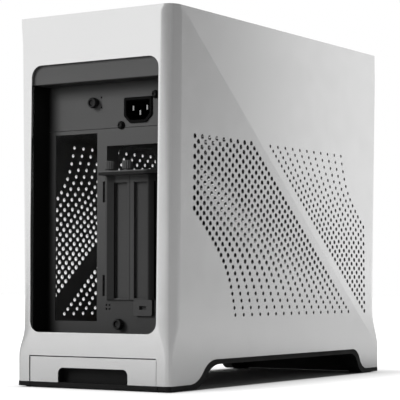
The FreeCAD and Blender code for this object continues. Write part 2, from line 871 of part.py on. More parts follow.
def make_inlet():
    """Moulded socket with a chamfered shroud, its three blades and two screw heads."""
    flange_y = (panel_rear, panel_rear + inlet_flange)
    flange = [cut_corner_box(around(inlet_centre_x, inlet_width + 2 * inlet_flange_margin), flange_y,
                             around(inlet_centre_z, inlet_height + 2 * inlet_flange_margin),
                             inlet_flange_margin, AXIS_Y)]
    for x, z in inlet_screw_places():
        flange.append(rod(inlet_ear_radius, Vector(x, flange_y[0], z), AXIS_Y, inlet_flange))
    shroud = inlet_outline(running_clearance, (panel_rear - inlet_depth, flange_y[1]))
    cavity_floor = flange_y[1] - inlet_cavity_depth
    cavity = inlet_outline(inlet_wall, (cavity_floor, flange_y[1]))
    save("inlet_socket", fused(flange + [shroud]).cut(cavity))

    pins = []
    for dx, dz in ((-pin_spacing / 2, 0), (pin_spacing / 2, 0), (0, -pin_offset)):
        pins.append(box(around(inlet_centre_x + dx, pin_width), (cavity_floor, cavity_floor + pin_length),
                        around(inlet_centre_z + pin_offset / 2 + dz, pin_height)))
    save("inlet_pins", pins)
    save("inlet_screws", [hexagon(inlet_screw_across, Vector(x, flange_y[1], z), AXIS_Y, inlet_screw_height)
                          for x, z in inlet_screw_places()])


# Fasteners and lock on the back panel

def make_thumbscrew(name, x, z):
    """Screw with a wide head for the fingers and a shank through the sheet."""
    head = rod(thumb_radius, Vector(x, panel_rear, z), AXIS_Y, thumb_height)
    shank = hexagon(thumb_shank_across, Vector(x, panel_rear - thumb_shank_length, z), AXIS_Y,
                    thumb_shank_length)
    save(name, fused([head, shank]))


def make_lock_plate():
    x = (lock_left - lock_width, lock_left)
    y = (panel_rear, panel_rear + lock_thickness)
    z = (lock_bottom, min(lock_bottom + lock_height, slot_bottom - sheet))
    slot = box(around(sum(x) / 2, lock_slot_width), y, around(sum(z) / 2, lock_slot_height))
    save("lock_plate", rounded_box(x, y, z, lock_slot_height / 2, AXIS_Y).cut(slot))


# Front strip with its ports and power button

def make_front_strip():
    front = -half_depth
    back = front + strip_thickness
    through = (front, back)
    plate = box(around(0, strip_width), through, (shell_bottom, strip_top))
    usb_a_places = [usb_a_first + index * usb_a_pitch for index in range(usb_a_count)]
    shelf = strip_level - usb_a_height / 2

    def usb_c_box(grow, y):
        across = around(usb_c_x, usb_c_width + 2 * grow)
        upright = around(strip_level, usb_c_height + 2 * grow)
        return cut_corner_box(across, y, upright, usb_c_cut + grow / 2, AXIS_Y)

    button = Vector(button_x, front, strip_level)
    cuts = [rod(button_radius + running_clearance, button, AXIS_Y, strip_thickness)]
    cuts.append(usb_c_box(port_fit, through))
    for x in usb_a_places:
        cuts.append(box(around(x, usb_a_width + 2 * port_fit), through,
                        around(strip_level, usb_a_height + 2 * port_fit)))
    cuts.append(rod(audio_radius + port_fit, Vector(audio_x, front, strip_level), AXIS_Y, strip_thickness))
    save("io_strip", plate.cut(cuts))

    deep = (front, front + port_depth)
    hollow = (front, front + port_depth - port_wall)

    save("usb_c_port", usb_c_box(0, deep).cut(usb_c_box(-port_wall, hollow)))
    for number, x in enumerate(usb_a_places, 1):
        body = box(around(x, usb_a_width), deep, around(strip_level, usb_a_height))
        room = box(around(x, usb_a_width - 2 * port_wall), hollow,
                   around(strip_level, usb_a_height - 2 * port_wall))
        tongue = box(around(x, usb_a_width - 4 * port_wall), (front + 2 * port_wall, hollow[1]),
                     (strip_level + port_wall, strip_level + 4 * port_wall))
        save("usb_a_port_%d" % number, fused([body.cut(room), tongue]))
    jack = rod(audio_radius, Vector(audio_x, front, strip_level), AXIS_Y, port_depth)
    bore = rod(audio_bore, Vector(audio_x, front, strip_level), AXIS_Y, port_depth - 2 * port_wall)
    save("audio_jack", jack.cut(bore))

    head = rod(button_radius, button, AXIS_Y, button_head)
    stem = box(around(button_x, button_stem), (front, front + button_head + button_stem_length),
               around(strip_level, button_stem))
    save("power_button", fused([head, stem]))
    switch_front = front + button_head + button_stem_length + button_travel + running_clearance
    save("power_switch", box(around(button_x, switch_size), (switch_front, switch_front + switch_depth),
                             (shelf, shelf + switch_size)))
    board_front = front + button_head + button_travel + running_clearance
    save("io_board", box(around(0, strip_width - 4 * io_pocket_margin),
                         (board_front, board_front + io_board_length), (shelf - io_board_thickness, shelf)))


os.makedirs("parts", exist_ok=True)
make_shell()
make_top_panel()
make_base_frame()
make_feet()
make_tray()
make_floor_plate()
make_rear_panel()
make_inlet_plate()
make_top_frame()
make_front_wall()
make_spine()
make_riser()
make_psu_bracket()
make_slots()
make_inlet()
make_thumbscrew("thumbscrew_upper", thumb_upper_x, thumb_upper_z)
make_thumbscrew("thumbscrew_lower", thumb_lower_x, thumb_lower_z)
make_lock_plate()
make_front_strip()
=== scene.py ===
import json
import math

import bpy
import numpy as np
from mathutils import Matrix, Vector, kdtree
from mathutils.geometry import delaunay_2d_cdt


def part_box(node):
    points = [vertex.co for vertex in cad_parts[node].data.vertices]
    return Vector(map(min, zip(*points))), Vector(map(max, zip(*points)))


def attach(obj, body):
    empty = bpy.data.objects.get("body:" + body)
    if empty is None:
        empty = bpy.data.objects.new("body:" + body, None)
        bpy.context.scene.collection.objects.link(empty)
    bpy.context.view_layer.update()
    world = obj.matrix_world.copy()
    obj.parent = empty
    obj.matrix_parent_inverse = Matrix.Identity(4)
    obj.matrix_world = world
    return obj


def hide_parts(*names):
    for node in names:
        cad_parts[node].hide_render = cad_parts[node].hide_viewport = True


# Looks of the computer case. Metres, +Z up, rear at +Y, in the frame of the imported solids.

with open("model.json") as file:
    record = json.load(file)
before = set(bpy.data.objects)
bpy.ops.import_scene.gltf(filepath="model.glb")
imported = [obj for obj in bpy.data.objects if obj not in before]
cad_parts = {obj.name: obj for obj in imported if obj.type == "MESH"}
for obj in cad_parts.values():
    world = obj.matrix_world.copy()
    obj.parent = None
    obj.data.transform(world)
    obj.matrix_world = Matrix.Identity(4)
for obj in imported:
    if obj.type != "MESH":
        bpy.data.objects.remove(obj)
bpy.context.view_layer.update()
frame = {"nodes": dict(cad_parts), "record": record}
nodes = frame["nodes"]
scene = bpy.context.scene
scene.view_settings.view_transform = "Standard"

MM = 0.001

# Camera: fitted to the outline of the case in a 400 x 400 picture
CAMERA_PLACE = (-0.79406, 1.25196, 0.08841)
CAMERA_TURN = (92.93, 0.0, 212.78)
CAMERA_LENS = 144.51
CAMERA_SENSOR = 36.0

# Sleeve: the outer size of its solid. A corner table holds heights and the radii at them
shell_low, shell_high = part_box("shell")
HALF_WIDTH = shell_high.x
HALF_DEPTH = shell_high.y
SHELL_BOTTOM = shell_low.z
SHELL_TOP = shell_high.z
SHELL_WALL = 2.0 * MM
LEVELS_LOW = (24.0 * MM, 95.0 * MM, 14)
LEVELS_HIGH = (SHELL_TOP - 26.0 * MM, SHELL_TOP, 13)
SOFT_CORNER = ((0.0, 27.0 * MM, 58.0 * MM, SHELL_TOP - 6.0 * MM, SHELL_TOP),
               (5.0 * MM, 5.0 * MM, 15.0 * MM, 14.0 * MM, 10.4 * MM))
FAR_CORNER = ((0.0, 27.0 * MM, 50.0 * MM, SHELL_TOP - 26.0 * MM, SHELL_TOP),
              (5.0 * MM, 5.0 * MM, 16.0 * MM, 6.0 * MM, 2.6 * MM))
CRISP_CORNER = ((0.0, 24.0 * MM, 58.0 * MM, SHELL_TOP - 26.0 * MM, SHELL_TOP),
                (2.6 * MM, 2.6 * MM, 15.5 * MM, 1.2 * MM, 1.2 * MM))
SMALLEST_RADIUS = 0.6 * MM
CORNER_STEPS = 14
CREASE_REAR = HALF_DEPTH - 12.0 * MM
CREASE_FOOT = 23.0 * MM
FOLD_REAR = 3.5 * MM
FOLD_FRONT = 2.0 * MM
LEAN_SPAN = 0.1
SQUEEZE_BAND = 13.0 * MM
NORMAL_STEP = 0.05 * MM
NORMAL_DRAW = 0.03
SEAM_REACH = 1e-7

# Openings of the sleeve
WINDOW_HALF = HALF_WIDTH - 13.3 * MM
WINDOW_BOTTOM = 46.4 * MM
WINDOW_TOP = 272.5 * MM
WINDOW_RADIUS = 10.2 * MM
WINDOW_STEPS = 8
TRAY_NOTCH = (HALF_WIDTH - 13.5 * MM, 26.9 * MM)
STRIP_NOTCH = (48.2 * MM, 22.2 * MM)
ARCH_TOP = 24.2 * MM
ARCH_STEPS = 16
ARCH_REAR_TOE = (HALF_DEPTH - 30.0 * MM, 40.0 * MM)
ARCH_FRONT_TOE = (-HALF_DEPTH + 25.0 * MM, 29.0 * MM)

# Fine perforation: lines of round holes that start along the fold and bend away from it
HOLE_SIDES = 12
LINE_SAMPLES = 80
HOLE_TOP = 208.5 * MM
HOLE_BOTTOM = 60.5 * MM
HOLE_MARGIN_BELOW = 17.5 * MM
HOLE_MARGIN_ABOVE = 15.0 * MM
HOLE_REAR = 148.9 * MM
HOLE_REAR_LOW = (84.0 * MM, 149.0 * MM)
HOLE_FRONT = -153.0 * MM
HOLE_FRONT_HIGH = (-107.0 * MM, 142.0 * MM)
HOLES_ALONG_FOLD = 37
LINES_BELOW = 16
LINES_BELOW_TOP = 9
LINES_ABOVE = 11
STEEP_WAY = (-0.248, -0.969)
REACH_ALONG = 0.565
REACH_STEEP = 0.36
RADIUS_BELOW = (2.2 * MM, 2.2 * MM, 1.6 * MM)
RADIUS_ABOVE = (1.55 * MM, 2.0 * MM, 1.9 * MM)
SIZE_HEIGHTS = (60.0 * MM, 110.0 * MM, 208.5 * MM)


# Sleeve mesh

def crease_y(z):
    """Where the fold crosses a height, seen from the side."""
    slant = (CREASE_REAR + HALF_DEPTH) / (SHELL_TOP - CREASE_FOOT)
    return -HALF_DEPTH + (z - CREASE_FOOT) * slant


def below_crease(y, z):
    run_y = CREASE_REAR + HALF_DEPTH
    run_z = SHELL_TOP - CREASE_FOOT
    return ((y + HALF_DEPTH) * run_z - (z - CREASE_FOOT) * run_y) / math.hypot(run_y, run_z)


REAR_SLOPE = FOLD_REAR / below_crease(HALF_DEPTH, SHELL_BOTTOM)
FRONT_SLOPE = FOLD_FRONT / below_crease(-HALF_DEPTH, SHELL_TOP)


def fold_offset(y, z):
    """How far the folded side stands in from the full width."""
    below = below_crease(y, z)
    return np.where(below > 0, REAR_SLOPE * below, FRONT_SLOPE * below)


def corner_table(facing, turn):
    """Radii of a corner: soft to the rim where the fold starts, tighter near the rim on the others."""
    if facing < 0:
        return CRISP_CORNER
    return SOFT_CORNER if turn > 0 else FAR_CORNER


def corner_radius(z, table):
    """Corner radius at a height, eased between the levels."""
    heights, radii = table
    index = np.clip(np.searchsorted(heights, z, side="right") - 1, 0, len(heights) - 2)
    low, high = np.take(heights, index), np.take(heights, index + 1)
    share = np.clip((z - low) / (high - low), 0, 1)
    share = share * share * (3 - 2 * share)
    return np.take(radii, index) * (1 - share) + np.take(radii, index + 1) * share


def squeezed(value, full, inset):
    """A place along a wall, drawn in by the inset over the last stretch before the corner."""
    size = np.abs(value)
    start = full - SQUEEZE_BAND
    drawn = start + (size - start) * (SQUEEZE_BAND - inset) / SQUEEZE_BAND
    return np.sign(value) * np.where(size < start, size, drawn)


def shell_points(u, z, inset, turn, level=None):
    """Points of half the sleeve, at x > 0. u runs from the rear middle round to the front middle,
    turn is -1 where the fold runs down towards the rear, and level is the height of the corner radii."""
    u = np.asarray(u, float)
    z = np.asarray(z, float)
    level = z if level is None else level
    points = np.zeros((len(u), 3))
    points[:, 2] = z
    end = 2 * HALF_WIDTH + 2 * HALF_DEPTH
    for facing in (1, -1):
        along = u if facing > 0 else end - u
        mine = along <= HALF_WIDTH + HALF_DEPTH
        along, height = along[mine], z[mine]
        ahead = turn * facing
        corner_x = HALF_WIDTH - inset - fold_offset(ahead * HALF_DEPTH, height)
        corner_y = HALF_DEPTH - inset
        across = squeezed(np.minimum(along, HALF_WIDTH), HALF_WIDTH, inset)
        across = across / (HALF_WIDTH - inset) * corner_x
        back = squeezed(HALF_DEPTH - np.maximum(along - HALF_WIDTH, 0), HALF_DEPTH, inset)
        on_side = along > HALF_WIDTH
        x = np.where(on_side, HALF_WIDTH - inset - fold_offset(ahead * back, height), across)
        y = np.where(on_side, back, corner_y)
        radius = corner_radius(level[mine], corner_table(facing, turn)) - inset
        radius = np.maximum(radius, SMALLEST_RADIUS)
        inward = ahead * (1 - LEAN_SPAN) * HALF_DEPTH
        lean = fold_offset(ahead * HALF_DEPTH, height) - fold_offset(inward, height)
        bend = math.pi / 2 - np.arctan(lean / (LEAN_SPAN * HALF_DEPTH))
        reach = radius * np.tan(bend / 2)
        travel = np.where(on_side, corner_y - back, across - corner_x)
        angle = np.clip((travel + reach) / (2 * reach), 0, 1) * bend
        centre_x = corner_x - reach
        centre_y = corner_y - radius
        near = np.abs(travel) < reach
        points[mine, 0] = np.where(near, centre_x + radius * np.sin(angle), x)
        points[mine, 1] = facing * np.where(near, centre_y + radius * np.cos(angle), y)
    return points


def shell_normals(u, z, turn):
    """Outward normals from small steps along the sleeve, each with one radius for its corner."""
    along = shell_points(u + NORMAL_STEP, z, 0, turn) - shell_points(u - NORMAL_STEP, z, 0, turn)
    up = shell_points(u, z + NORMAL_STEP, 0, turn, z) - shell_points(u, z - NORMAL_STEP, 0, turn, z)
    normals = np.cross(up, along)
    return normals / np.linalg.norm(normals, axis=1)[:, None]


def side_u(y):
    """Place along the unrolled sleeve of a depth on its side."""
    return HALF_WIDTH + HALF_DEPTH - y


def hole_line(start, end, start_pull, end_pull, count):
    """Evenly spaced places (y, z) along a bent line."""
    share = np.linspace(0, 1, LINE_SAMPLES)[:, None]
    bent = ((1 - share) ** 3 * start + 3 * share * (1 - share) ** 2 * (start + start_pull)
            + 3 * share ** 2 * (1 - share) * (end - end_pull) + share ** 3 * end)
    travel = np.concatenate([[0], np.cumsum(np.linalg.norm(np.diff(bent, axis=0), axis=1))])
    spots = np.linspace(0, travel[-1], count)
    return zip(np.interp(spots, travel, bent[:, 0]), np.interp(spots, travel, bent[:, 1]))


def hole_centres(turn):
    """Places (u, z) and radii of the holes on one side, in a field below the fold and one above."""
    top, bottom = crease_y(HOLE_TOP), crease_y(HOLE_BOTTOM)
    fold_way = np.array((bottom - top, HOLE_BOTTOM - HOLE_TOP))
    fold_way /= np.linalg.norm(fold_way)
    holes = []

    def add_line(start, end, bend, steep_end, count, radii):
        start, end = np.array(start), np.array(end)
        steep = fold_way * (1 - bend) + np.array(STEEP_WAY) * bend
        steep = steep / np.linalg.norm(steep) * REACH_STEEP * np.linalg.norm(end - start)
        along = fold_way * REACH_ALONG * np.linalg.norm(end - start)
        pulls = (along, steep) if steep_end else (steep, along)
        for y, z in hole_line(start, end, *pulls, count):
            radius = np.interp(z, SIZE_HEIGHTS, radii[::-1])
            holes.append((side_u(turn * y), z, radius))

    last = LINES_BELOW_TOP - 1
    for line in range(LINES_BELOW):
        share = line / (LINES_BELOW - 1)
        first = bottom + HOLE_MARGIN_BELOW
        end = (first + (HOLE_REAR_LOW[0] - first) * share, HOLE_BOTTOM)
        if line <= last:
            first = top + HOLE_MARGIN_BELOW
            start = (first + (HOLE_REAR - first) * line / last, HOLE_TOP)
            count = HOLES_ALONG_FOLD - line // 2
        else:
            drop = (line - last) / (LINES_BELOW - 1 - last)
            start = (HOLE_REAR, HOLE_TOP + (HOLE_REAR_LOW[1] - HOLE_TOP) * drop)
            count = HOLES_ALONG_FOLD - last // 2 - 2 * (line - last)
        add_line(start, end, share, True, count, RADIUS_BELOW)
    for line in range(LINES_ABOVE):
        share = line / (LINES_ABOVE - 1)
        first = top - HOLE_MARGIN_ABOVE
        start = (first + (HOLE_FRONT_HIGH[0] - first) * share, HOLE_TOP)
        end = (HOLE_FRONT, HOLE_BOTTOM + (HOLE_FRONT_HIGH[1] - HOLE_BOTTOM) * share)
        add_line(start, end, share, False, HOLES_ALONG_FOLD - round(2.5 * line), RADIUS_ABOVE)
    return holes


def arch_height(y):
    """Upper edge of the side arch at a depth, or nothing outside it."""
    rise = ARCH_TOP - SHELL_BOTTOM
    height = np.full(np.shape(y), ARCH_TOP)
    for (toe, run), turn in ((ARCH_REAR_TOE, -1), (ARCH_FRONT_TOE, 1)):
        radius = (run * run + rise * rise) / (4 * rise)
        inward = np.clip((y - toe) * turn, 0, run)
        low = SHELL_BOTTOM + radius - np.sqrt(np.maximum(radius ** 2 - inward ** 2, 0))
        high = ARCH_TOP - radius + np.sqrt(np.maximum(radius ** 2 - (run - inward) ** 2, 0))
        height = np.minimum(height, np.where(inward < run / 2, low, high))
    return height


def window_loop():
    """Half of the rear window, closed past the middle."""
    loop = [(-WINDOW_HALF, WINDOW_BOTTOM)]
    for z, start in ((WINDOW_BOTTOM + WINDOW_RADIUS, -90), (WINDOW_TOP - WINDOW_RADIUS, 0)):
        for step in range(WINDOW_STEPS + 1):
            angle = math.radians(start + 90 * step / WINDOW_STEPS)
            loop.append((WINDOW_HALF - WINDOW_RADIUS + WINDOW_RADIUS * math.cos(angle),
                         z + WINDOW_RADIUS * math.sin(angle)))
    return loop + [(-WINDOW_HALF, WINDOW_TOP)]


def inside_window(u, z):
    dx = np.maximum(u - (WINDOW_HALF - WINDOW_RADIUS), 0)
    middle = (WINDOW_BOTTOM + WINDOW_TOP) / 2
    half = (WINDOW_TOP - WINDOW_BOTTOM) / 2
    dz = np.maximum(np.abs(z - middle) - (half - WINDOW_RADIUS), 0)
    return np.hypot(dx, dz) < WINDOW_RADIUS * 0.999


def arch_loop():
    """Edge of the arch as (u, z), closed below the sleeve."""
    flanks = []
    for toe, run in (ARCH_REAR_TOE, ARCH_FRONT_TOE):
        turn = -1 if toe > 0 else 1
        flanks.append([toe + turn * run * step / ARCH_STEPS for step in range(ARCH_STEPS + 1)])
    ys = flanks[0] + flanks[1][::-1]
    edge = [(side_u(y), float(arch_height(y))) for y in ys]
    return edge + [(edge[-1][0], -SHELL_BOTTOM), (edge[0][0], -SHELL_BOTTOM)]


def notch_loop(half, top, start, turn):
    """Half of a notch in the lower edge, closed past the middle and below the sleeve."""
    return [(start - turn * half, -SHELL_BOTTOM), (start + turn * half, -SHELL_BOTTOM),
            (start + turn * half, top), (start - turn * half, top)]


def shell_domain(turn):
    """Flat pattern of one half: points (u, z) and its triangles, with every opening left out."""
    end = 2 * HALF_WIDTH + 2 * HALF_DEPTH
    points, edges = [], []

    def add(line, closed):
        first = len(points)
        points.extend(line)
        count = len(line)
        for index in range(count if closed else count - 1):
            edges.append((first + index, first + (index + 1) % count))

    add([(0, SHELL_BOTTOM), (end, SHELL_BOTTOM), (end, SHELL_TOP), (0, SHELL_TOP)], True)
    heights = [SHELL_BOTTOM]
    for low, high, steps in (LEVELS_LOW, LEVELS_HIGH):
        heights += [low + (high - low) * step / steps for step in range(steps + 1)]
    for z in heights[1:-1]:
        add([(0, z), (end, z)], False)
    for corner, facing in ((HALF_WIDTH, 1), (end - HALF_WIDTH, -1)):
        reach = corner_radius(np.array(heights), corner_table(facing, turn))
        for step in range(CORNER_STEPS + 1):
            share = 2 * step / CORNER_STEPS - 1
            add([(corner + share * r, z) for r, z in zip(reach, heights)], False)
    add([(side_u(turn * crease_y(z)), z) for z in (SHELL_TOP, CREASE_FOOT)], False)
    add(window_loop(), True)
    add(arch_loop(), True)
    add(notch_loop(*TRAY_NOTCH, 0, 1), True)
    add(notch_loop(*STRIP_NOTCH, end, -1), True)
    holes = hole_centres(turn)
    for u, z, radius in holes:
        add([(u + radius * math.cos(math.tau * k / HOLE_SIDES),
              z + radius * math.sin(math.tau * k / HOLE_SIDES)) for k in range(HOLE_SIDES)], True)

    flat = [Vector((u / MM, z / MM)) for u, z in points]
    found, _, triangles, _, _, _ = delaunay_2d_cdt(flat, edges, [], 0, 1e-5)
    flat = np.array([(p.x, p.y) for p in found]) * MM
    triangles = np.array(triangles)
    u, z = flat[triangles].mean(axis=1).T
    keep = (u > 0) & (u < end) & (z > SHELL_BOTTOM) & (z < SHELL_TOP)
    keep &= ~inside_window(u, z)
    keep &= ~((u < TRAY_NOTCH[0]) & (z < TRAY_NOTCH[1]))
    keep &= ~((u > end - STRIP_NOTCH[0]) & (z < STRIP_NOTCH[1]))
    y = HALF_WIDTH + HALF_DEPTH - u
    under = (y < ARCH_REAR_TOE[0]) & (y > ARCH_FRONT_TOE[0])
    keep &= ~(under & (z < arch_height(y)))
    tree = kdtree.KDTree(len(holes))
    for index, (hu, hz, _) in enumerate(holes):
        tree.insert((hu, hz, 0), index)
    tree.balance()
    for index in np.nonzero(keep)[0]:
        place, nearest, distance = tree.find((u[index], z[index], 0))
        radius = holes[nearest][2]
        if distance < radius:
            wedge = math.tau / HOLE_SIDES
            angle = math.atan2(z[index] - place.y, u[index] - place.x) % wedge - wedge / 2
            keep[index] = distance * math.cos(angle) > radius * math.cos(wedge / 2) * 0.9999
    return flat, triangles[keep]


def shell_half(turn):
    """Half the sleeve at x > 0: points, and groups of faces with their corner normals."""
    flat, triangles = shell_domain(turn)
    used = np.unique(triangles)
    lookup = np.zeros(len(flat), int)
    lookup[used] = np.arange(len(used))
    flat, triangles = flat[used], lookup[triangles]
    u, z = flat.T
    first = shell_points(u, z, 0, turn)
    corners = first[triangles]
    facing = np.cross(corners[:, 1] - corners[:, 0], corners[:, 2] - corners[:, 0])
    centre_u = u[triangles].mean(axis=1)
    centre_z = z[triangles].mean(axis=1)
    flipped = (facing * shell_normals(centre_u, centre_z, turn)).sum(axis=1) < 0
    triangles[flipped] = triangles[flipped][:, ::-1]

    near_u = u[triangles] * (1 - NORMAL_DRAW) + centre_u[:, None] * NORMAL_DRAW
    near_z = z[triangles] * (1 - NORMAL_DRAW) + centre_z[:, None] * NORMAL_DRAW
    outer_normals = shell_normals(near_u.ravel(), near_z.ravel(), turn).reshape(-1, 3, 3)

    sides = np.concatenate([triangles[:, [0, 1]], triangles[:, [1, 2]], triangles[:, [2, 0]]])
    names = np.sort(sides, axis=1)
    _, where, counts = np.unique(names, axis=0, return_index=True, return_counts=True)
    rim = sides[where[counts == 1]]
    end = 2 * HALF_WIDTH + 2 * HALF_DEPTH
    on_seam = [(np.abs(u[rim] - seam) < SEAM_REACH).all(axis=1) for seam in (0, end)]
    rim = rim[~(on_seam[0] | on_seam[1])]

    count = len(flat)
    points = np.concatenate([first, shell_points(u, z, SHELL_WALL, turn)])
    walls = np.stack([rim[:, 1], rim[:, 0], rim[:, 0] + count, rim[:, 1] + count], axis=1)
    wall_edges = points[walls[:, 1]] - points[walls[:, 0]]
    wall_normals = np.cross(wall_edges, points[walls[:, 3]] - points[walls[:, 0]])
    wall_normals /= np.linalg.norm(wall_normals, axis=1)[:, None] + 1e-12
    return points, [(triangles, outer_normals), (triangles[:, ::-1] + count, -outer_normals[:, ::-1]),
                    (walls, np.repeat(wall_normals[:, None], 4, axis=1))]


def make_shell():
    """Perforated sleeve: the flat pattern of each side wrapped round and given its wall."""
    points, polygons, loop_normals = [], [], []
    first = 0
    for side in (1, -1):
        half, faces = shell_half(-side)
        flip = np.array((side, 1, 1))
        points.append(half * flip)
        for group, vectors in faces:
            if side < 0:
                group, vectors = group[:, ::-1], vectors[:, ::-1]
            polygons.extend((group + first).tolist())
            loop_normals.append((vectors * flip).reshape(-1, 3))
        first += len(half)
    points = np.concatenate(points)
    _, index, back = np.unique(np.round(points, 8), axis=0, return_index=True, return_inverse=True)
    back = back.ravel()
    mesh = bpy.data.meshes.new("perforated_sleeve")
    mesh.from_pydata(points[index].tolist(), [], [[int(back[v]) for v in p] for p in polygons])
    mesh.polygons.foreach_set("use_smooth", [True] * len(mesh.polygons))
    mesh.normals_split_custom_set(np.concatenate(loop_normals).tolist())
    piece = bpy.data.objects.new("perforated_sleeve", mesh)
    scene.collection.objects.link(piece)
    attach(piece, "shell")
    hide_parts("shell")
    return piece


# Materials

NOISE_SPAN = (0.3, 0.7)
CLOUD_SCALE = 14.0
GLOSS_SCALE = 60.0


def start_material(name):
    material = bpy.data.materials.new(name)
    material.use_nodes = True
    tree = material.node_tree
    shader = tree.nodes["Principled BSDF"]
    coords = tree.nodes.new("ShaderNodeTexCoord")
    return material, tree, shader, coords.outputs["Object"]


def noise(tree, coords, scale, detail=2.0):
    node = tree.nodes.new("ShaderNodeTexNoise")
    node.inputs["Scale"].default_value = scale
    node.inputs["Detail"].default_value = detail
    tree.links.new(coords, node.inputs["Vector"])
    return node.outputs["Fac"]


def spread(tree, value, low, high):
    """Noise drawn out between two values."""
    node = tree.nodes.new("ShaderNodeMapRange")
    node.inputs["From Min"].default_value = NOISE_SPAN[0]
    node.inputs["From Max"].default_value = NOISE_SPAN[1]
    node.inputs["To Min"].default_value = low
    node.inputs["To Max"].default_value = high
    tree.links.new(value, node.inputs["Value"])
    return node.outputs["Result"]


def shade_range(tree, value, dark, light):
    node = tree.nodes.new("ShaderNodeMix")
    node.data_type = "RGBA"
    node.inputs["A"].default_value = (*dark, 1)
    node.inputs["B"].default_value = (*light, 1)
    tree.links.new(value, node.inputs["Factor"])
    return node.outputs["Result"]


def bump(tree, shader, height, distance, strength, edge=0.0):
    """Relief on a surface, with its hard edges softened."""
    node = tree.nodes.new("ShaderNodeBump")
    node.inputs["Distance"].default_value = distance
    node.inputs["Strength"].default_value = strength
    tree.links.new(height, node.inputs["Height"])
    if edge > 0:
        soft = tree.nodes.new("ShaderNodeBevel")
        soft.samples = 4
        soft.inputs["Radius"].default_value = edge
        tree.links.new(soft.outputs["Normal"], node.inputs["Normal"])
    tree.links.new(node.outputs["Normal"], shader.inputs["Normal"])


def finish_material(name, dark, light, metallic, roughness, grain, depth, strength,
                    edge=0.3 * MM, shine=0.5):
    """Common base: clouded colour, uneven gloss and a fine grain."""
    material, tree, shader, coords = start_material(name)
    shader.inputs["Metallic"].default_value = metallic
    shader.inputs["Specular IOR Level"].default_value = shine
    clouds = noise(tree, coords, CLOUD_SCALE, 3.0)
    tree.links.new(shade_range(tree, clouds, dark, light), shader.inputs["Base Color"])
    tree.links.new(spread(tree, noise(tree, coords, GLOSS_SCALE), *roughness), shader.inputs["Roughness"])
    bump(tree, shader, noise(tree, coords, grain, 3.0), depth, strength, edge)
    return material


def grey(value):
    return (value, value, value)


def stripes(tree, coords, axis, pitch):
    """Soft stripes across one axis."""
    wave = tree.nodes.new("ShaderNodeTexWave")
    wave.bands_direction = axis
    wave.inputs["Scale"].default_value = math.tau / (20 * pitch)
    wave.inputs["Distortion"].default_value = 0.0
    tree.links.new(coords, wave.inputs["Vector"])
    return wave.outputs["Fac"]


def woven(name, pitch, gap, thread):
    """Crossed threads with dark gaps between them."""
    material, tree, shader, coords = start_material(name)
    shader.inputs["Specular IOR Level"].default_value = 0.2
    grid = tree.nodes.new("ShaderNodeMath")
    grid.operation = "MAXIMUM"
    for index, axis in enumerate("XY"):
        tree.links.new(stripes(tree, coords, axis, pitch), grid.inputs[index])
    tree.links.new(shade_range(tree, grid.outputs["Value"], gap, thread), shader.inputs["Base Color"])
    tree.links.new(spread(tree, noise(tree, coords, 400.0), 0.55, 0.75), shader.inputs["Roughness"])
    bump(tree, shader, grid.outputs["Value"], 0.15 * MM, 0.6)
    return material


def printed(name, pitch, mask, trace):
    """Board lacquer with slim paler runs of copper under it."""
    material, tree, shader, coords = start_material(name)
    runs = tree.nodes.new("ShaderNodeTexBrick")
    runs.inputs["Scale"].default_value = 1 / pitch
    runs.inputs["Mortar Size"].default_value = 0.05
    runs.inputs["Color1"].default_value = (*mask, 1)
    runs.inputs["Color2"].default_value = (*[1.25 * part for part in mask], 1)
    runs.inputs["Mortar"].default_value = (*trace, 1)
    tree.links.new(coords, runs.inputs["Vector"])
    tree.links.new(runs.outputs["Color"], shader.inputs["Base Color"])
    tree.links.new(spread(tree, noise(tree, coords, 700.0), 0.3, 0.42), shader.inputs["Roughness"])
    bump(tree, shader, runs.outputs["Fac"], 0.03 * MM, 0.3)
    return material


materials = {
    "silver_aluminium": finish_material("bead_blasted_aluminium", grey(0.77), grey(0.79), 1.0,
                                        (0.21, 0.24), 2600.0, 0.0015 * MM, 0.15, 0.0),
    "black_steel": finish_material("black_powder_coat", grey(0.058), grey(0.068), 0.0, (0.45, 0.55),
                                   1500.0, 0.05 * MM, 0.35),
    "black_plastic": finish_material("black_moulded_plastic", grey(0.007), grey(0.011), 0.0,
                                     (0.42, 0.55), 2200.0, 0.04 * MM, 0.35, shine=0.1),
    "black_socket": finish_material("black_socket_plastic", grey(0.002), grey(0.004), 0.0, (0.3, 0.4),
                                    1800.0, 0.02 * MM, 0.3, shine=0.05),
    "black_rubber": finish_material("black_rubber", grey(0.01), grey(0.015), 0.0, (0.7, 0.85),
                                    900.0, 0.06 * MM, 0.4),
    "brass": finish_material("turned_brass", (0.55, 0.38, 0.13), (0.66, 0.48, 0.2), 1.0, (0.22, 0.32),
                             1800.0, 0.02 * MM, 0.3),
    "bright_steel": finish_material("nickel_plate", grey(0.66), grey(0.72), 1.0, (0.18, 0.28),
                                    1200.0, 0.02 * MM, 0.2),
    "filter_mesh": woven("woven_filter", 1.2 * MM, grey(0.002), grey(0.035)),
    "circuit_board": printed("solder_mask", 2.6 * MM, (0.012, 0.03, 0.018), (0.03, 0.075, 0.04)),
    "black_screw": finish_material("black_zinc", grey(0.006), grey(0.012), 0.0, (0.3, 0.42),
                                   1600.0, 0.03 * MM, 0.3, shine=0.3),
}


def powder_coat(name, dark, light, shine=0.25):
    return finish_material(name, grey(dark), grey(light), 0.0, (0.45, 0.55), 1500.0, 0.05 * MM, 0.35,
                           shine=shine)


